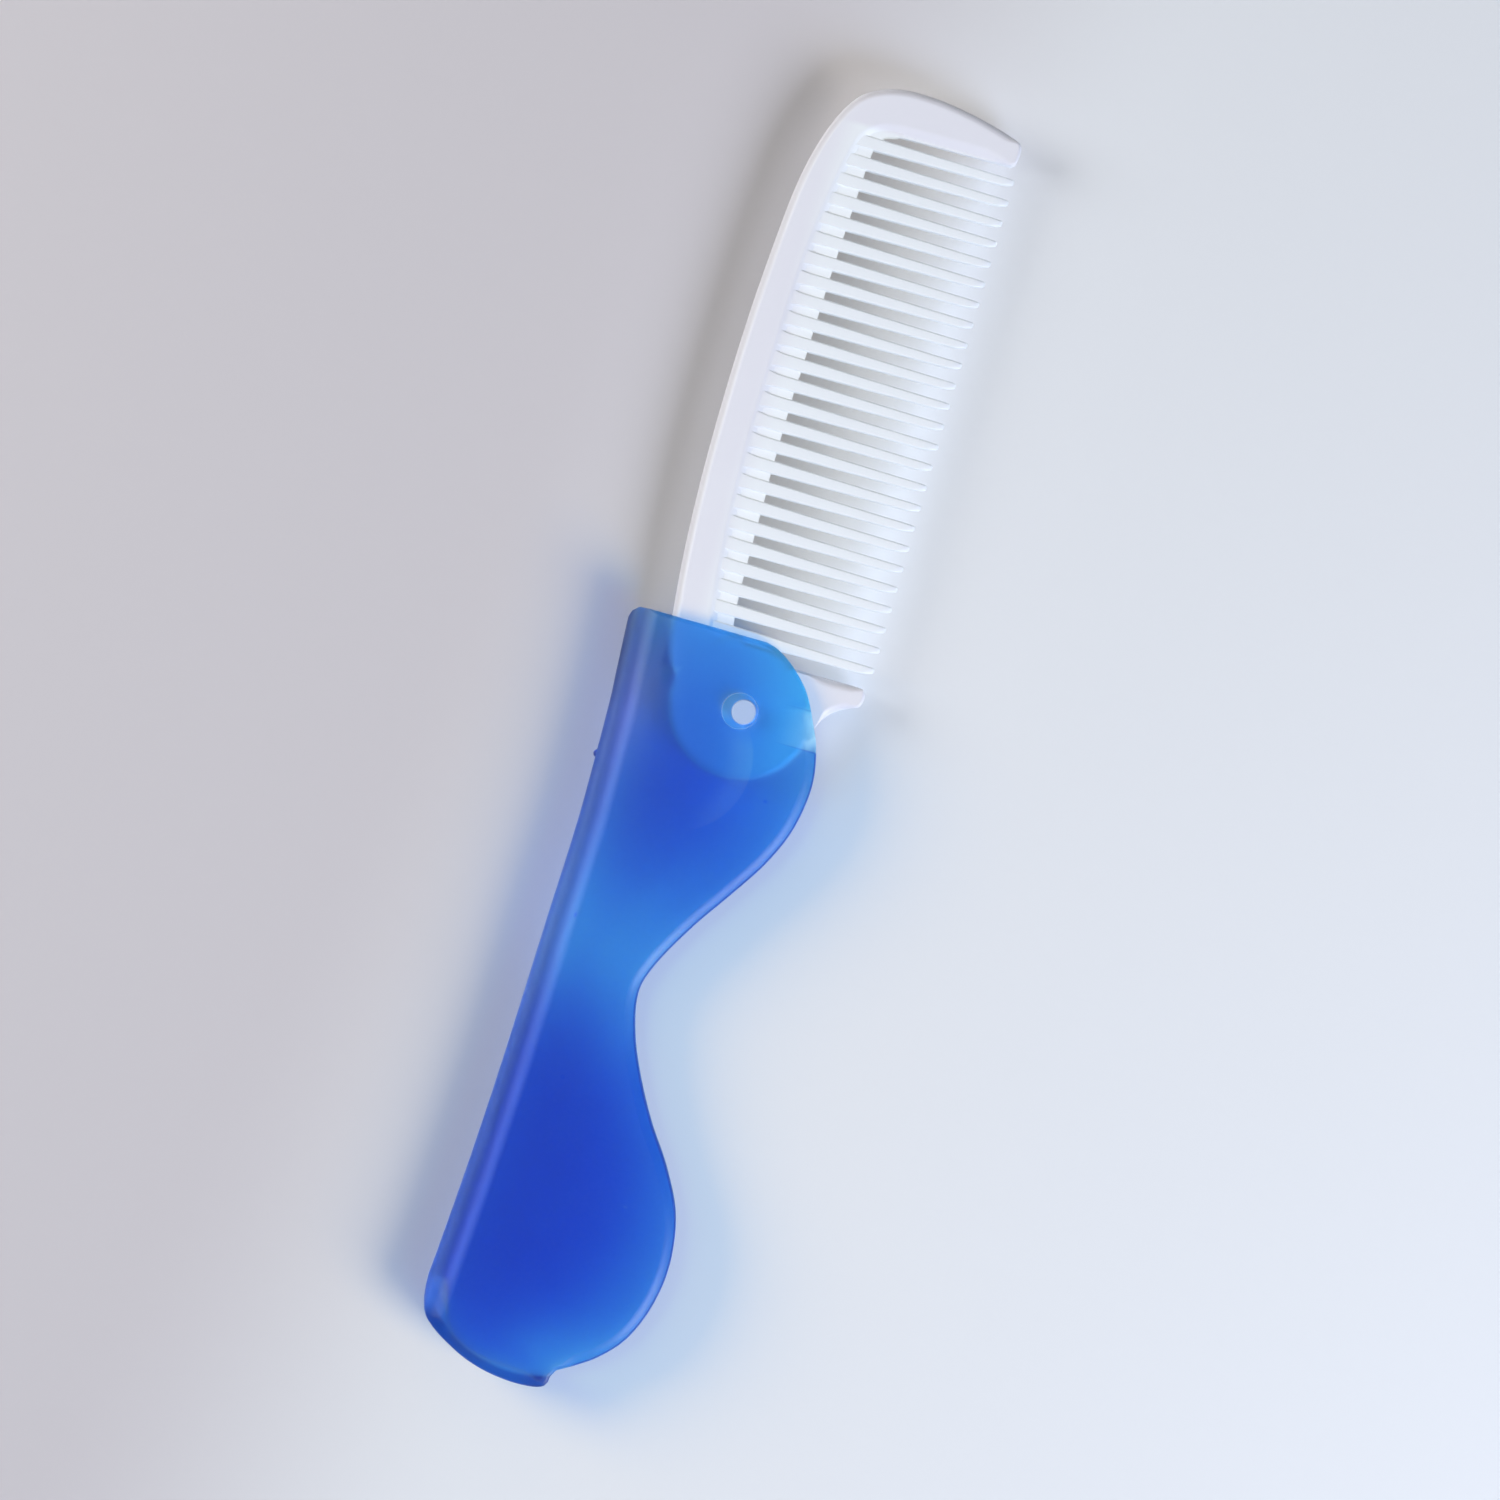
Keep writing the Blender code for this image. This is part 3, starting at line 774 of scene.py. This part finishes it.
def blueAtEdges(paint, tint, x, y, z):  # the spine, the cheeks' wavy edge and the end wall, with painted sheen and shade on spine and edge
    s, r = bluePlastic, rampShape
    fromSpine = paint.value(paint.node("Attribute", {"attribute_name": "fromSpine"}), 2)
    # painted sheen on the spine's steep part, painted shade on its outer side
    steepTint = paint.blendColours(s["steepShare"], tint, s["steepTint"])
    spineTint = paint.blendColours(paint.ease(fromSpine, *s["outerFade"]), s["outerTint"], steepTint)
    tint = paint.blendColours(1 - paint.ease(fromSpine, *s["spineFade"]), tint, spineTint)
    fromMiddle = (z - handleShape["thickness"] / 2).math("ABSOLUTE")
    gap = s["edgeGap"]
    besideRamp = paint.between(y, (r["low"] - gap, r["low"]), (r["high"], r["high"] + gap))
    onEdge = paint.between(fromMiddle, *s["edgeBand"]) * paint.ease(fromSpine, *s["edgeFrom"])
    # painted shade along the cheeks' outer edge
    tint = paint.blendColours(onEdge * (1 - besideRamp), tint, s["edgeTint"])
    onEndWall = paint.ease(paint.distance(x, y, s["solidMiddle"]), *s["solidFade"])
    return paint.blendColours(onEndWall * (1 - paint.ease(y, *s["solidTop"])), tint, s["solidTint"])


def bluePaint():
    s = bluePlastic
    paint = Paint("translucentBlue")
    vector, x, y, z = paint.place()
    grain = paint.noise(vector, s["grain"][0], s["detail"])
    shadeAndDensity = blueShadeAndDensity(paint, vector, grain, x, y)
    # darker where the map is high: denser plastic and painted shade
    tint = paint.blendColours(shadeAndDensity, s["paleTint"], s["deepTint"])
    tint = blueAroundPin(paint, tint, x, y)
    tint = blueOnRamp(paint, tint, x, y)
    tint = blueAtEdges(paint, tint, x, y, z)
    shader = paint.node("BsdfPrincipled", {}, {
        "Base Color": tint,
        "Roughness": (grain - 0.5) * s["grainRoughness"] + s["roughness"],
        "IOR": s["ior"],
        "Transmission Weight": s["seeThrough"],
        "Normal": paint.relief(grain, *s["relief"]),
    })
    path = paint.node("LightPath")
    shadowRay, diffuseRay = paint.value(path, "Is Shadow Ray"), paint.value(path, "Is Diffuse Ray")
    share = paint.ease(x, *s["openFade"]) * (1 - s["openSpine"]) + s["openSpine"]
    share = share * (1 - shadeAndDensity * (1 - s["openDense"]))
    return paint.letThrough(shader, s["softLight"], (shadowRay * share).math("MAXIMUM", diffuseRay))


whitePlastic = {
    "back": (0.80, 0.825, 0.92),
    # painted light: the thin teeth paler and bluer than the back, as light comes through them
    "teeth": (0.875, 0.94, 1.0),
    "teethFade": (-10.5, -6.0),  # x between the thick back and the teeth
    "teethEnds": ((7.2, 8.0), (77.2, 78.2)),  # y where their white comes and goes
    "mottle": (0.1, 0.5),  # cloudiness: scale for a millimetre, and how far it goes between the two whites
    "grain": 6.0,
    "detail": (2.0, 3.0),  # of the clouds and the grain
    "relief": (0.06, 0.0001),  # strength, and depth in metres
    "roughness": 0.40,
    "grainRoughness": 0.1,
    # painted shade and blue light: the white pin's end, dim and blue inside the blue hole
    "pin": (0.42, 0.56, 0.84),
    "pinFade": (1.6, 1.75),
    "aroundPin": (0.19, 0.48, 0.82),  # the tang in the shade of the hole
    "aroundFade": (2.25, 2.45),  # from the middle of the cheek's hole
    "tangRim": (0.62, 0.68, 0.80),  # the tang's low edge, shaded by the cheeks
    "rimFade": (-1.2, -0.4),  # from the tang's rim
    "rimTop": (-2.0, 1.0),  # y where it goes
    "softLight": (0.73, 0.69, 0.62),  # what each face of a tooth lets through of the light beyond it
    "openBack": 0.1,  # share of it at the thick back
}


def whitePaint():
    s = whitePlastic
    paint = Paint("whitePlastic")
    vector, x, y = paint.place()[:3]
    cloudDetail, grainDetail = s["detail"]
    grain = paint.noise(vector, s["grain"], grainDetail)
    thin = paint.ease(x, *s["teethFade"])
    onTeeth = thin * paint.between(y, *s["teethEnds"])
    cloud = (paint.noise(vector, s["mottle"][0], cloudDetail) - 0.5) * s["mottle"][1]
    # the teeth's paler white is painted light
    colour = paint.blendColours((onTeeth + cloud).math("MAXIMUM", 0.0, clamp=True), s["back"], s["teeth"])
    fromHole = paint.distance(x, y, (holeShape["x"], 0.0))
    colour = paint.blendColours(1 - paint.ease(fromHole, *s["aroundFade"]), colour, s["aroundPin"])
    fromTang = paint.distance(x, y, tangShape["centre"])
    onRim = paint.ease(fromTang, *about(tangShape["radius"], s["rimFade"]))
    colour = paint.blendColours(onRim * (1 - paint.ease(y, *s["rimTop"])), colour, s["tangRim"])
    fromPin = paint.distance(x, y, (0.0, 0.0))
    # painted shade and blue light on the pin's end
    colour = paint.blendColours(1 - paint.ease(fromPin, *s["pinFade"]), colour, s["pin"])
    shader = paint.node("BsdfPrincipled", {}, {
        "Base Color": colour,
        "Roughness": (grain - 0.5) * s["grainRoughness"] + s["roughness"],
        "Normal": paint.relief(grain, *s["relief"]),
    })
    shadowRay = paint.value(paint.node("LightPath"), "Is Shadow Ray")
    share = thin * (1 - s["openBack"]) + s["openBack"]
    return paint.letThrough(shader, s["softLight"], shadowRay * share)


# The camera, the lamps and the floor are in metres and degrees.

view = {
    "middle": (4.375 * mm, -0.386 * mm),  # what the picture's middle looks at
    "turn": 16.0,
    "height": 1.3,
    "field": 0.195,  # width of what the picture shows
    "level": 0.006,  # at this height
    "sensor": 36.0,
    "clipEnd": 10.0,
}

floorShape = {
    "size": 3.0,
    # painted light: the floor darker and warmer to the left, lighter and bluer to the right, as the room's
    # light falls on it
    "left": (0.61, 0.605, 0.65),
    "right": (0.775, 0.82, 0.87),
    "lean": -0.18,  # how the change from left to right leans along y
    "fade": (-42.0, 14.0),  # and its range, in millimetres about the pin
    "roughness": 0.7,
    "gloss": 0.2,
}

room = {"colour": (0.95, 0.97, 1.0), "strength": 0.03}

lamps = [  # name, azimuth from +X, height angle, distance, size, power, colour, what it gives
    ("key", -27.0, 33.0, 0.8, 0.42, 6.8, (0.87, 0.90, 1.0), "all"),
    ("fill", 172.0, 30.5, 0.8, 0.48, 5.1, (1.0, 0.94, 0.87), "light"),
    ("top", 105.0, 40.0, 0.8, 0.5, 0.45, (1.0, 0.95, 0.9), "light"),
    ("upper", 174.0, 57.5, 0.8, 0.64, 4.3, (0.88, 0.98, 0.93), "sheen"),
]


def makeFloor():
    s = floorShape
    bm = bmesh.new()
    bmesh.ops.create_grid(bm, x_segments=1, y_segments=1, size=s["size"] / 2)
    mesh = bpy.data.meshes.new("floor")
    bm.to_mesh(mesh)
    bm.free()
    floor = bpy.data.objects.new("floor", mesh)
    bpy.context.scene.collection.objects.link(floor)
    paint = Paint("paleFloor")
    x, y = paint.place()[1:3]
    # painted light across the floor
    across = paint.ease(x + y * s["lean"], *s["fade"])
    shader = paint.node("BsdfPrincipled", {}, {
        "Base Color": paint.blendColours(across, s["left"], s["right"]),
        "Roughness": s["roughness"],
        "Specular IOR Level": s["gloss"],
    })
    mesh.materials.append(paint.finish(shader))


def makeCamera():
    data = bpy.data.cameras.new("camera")
    data.sensor_width = view["sensor"]
    data.lens = view["sensor"] * (view["height"] - view["level"]) / view["field"]
    data.clip_end = view["clipEnd"]
    camera = bpy.data.objects.new("camera", data)
    camera.location = (*view["middle"], view["height"])
    camera.rotation_euler = (0.0, 0.0, math.radians(view["turn"]))
    bpy.context.scene.collection.objects.link(camera)
    bpy.context.scene.camera = camera


def makeLamps():
    for name, azimuth, angle, distance, size, power, colour, gives in lamps:
        data = bpy.data.lights.new(name, "AREA")
        data.shape = "DISK"
        data.size = size
        data.energy = power
        data.color = colour
        lamp = bpy.data.objects.new(name, data)
        a, e = math.radians(azimuth), math.radians(angle)
        away = Vector((math.cos(a) * math.cos(e), math.sin(a) * math.cos(e), math.sin(e)))
        lamp.location = away * distance
        lamp.rotation_euler = away.to_track_quat("Z", "Y").to_euler()
        lamp.visible_glossy = lamp.visible_transmission = gives != "light"
        lamp.visible_diffuse = gives != "sheen"
        bpy.context.scene.collection.objects.link(lamp)
    world = bpy.data.worlds.new("softRoom")
    world.use_nodes = True
    background = world.node_tree.nodes["Background"].inputs
    background["Color"].default_value = (*room["colour"], 1.0)
    background["Strength"].default_value = room["strength"]
    bpy.context.scene.world = world


makeCamera()
makeLamps()
makeFloor()
print("camera, lamps and floor made")

makeHandle(bluePaint())
makeComb(whitePaint())

bpy.context.scene.view_settings.view_transform = "Standard"
